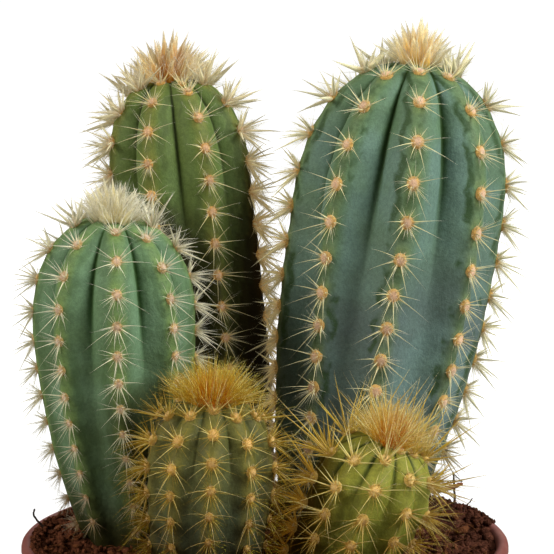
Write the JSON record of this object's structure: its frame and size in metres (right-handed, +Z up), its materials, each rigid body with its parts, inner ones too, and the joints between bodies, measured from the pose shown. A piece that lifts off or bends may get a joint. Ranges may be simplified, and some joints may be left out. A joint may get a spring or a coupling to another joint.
{
  "type": "potted columnar cactus clump",
  "caption": "Clump of ribbed columnar cacti with spine-bearing pads and crown tufts, in soil in a round tapered plastic nursery pot.",
  "frame": {"origin": "middle of the pot's flat underside", "axes": "+Z up, -Y towards the viewer of the picture, +X to the viewer's right"},
  "size_m": [0.1283, 0.123, 0.2315],
  "materials": {
    "pot_plastic": "satin",
    "peat": "matte",
    "skin_blue_green": "matte",
    "skin_olive": "matte",
    "skin_green": "matte",
    "skin_grey_olive": "matte",
    "skin_yellow_green": "matte",
    "spines_straw": "matte",
    "spines_orange": "matte",
    "wool_cream": "matte",
    "twig_bark": "matte"
  },
  "bodies": {
    "root": {"pot": "pot_plastic", "soil": "peat", "stem_tall_right": "skin_blue_green", "stem_tall_left": "skin_olive", "stem_left": "skin_green", "stem_small_middle": "skin_grey_olive", "stem_small_right": "skin_yellow_green", "tuft_tall_right": "spines_straw", "tuft_tall_left": "spines_orange", "tuft_left": "wool_cream", "tuft_small_middle": "spines_orange", "tuft_small_right": "spines_orange", "twig_forked": "twig_bark", "twig_leaning": "twig_bark", "twig_hooked": "twig_bark"}
  },
  "joints": []
}
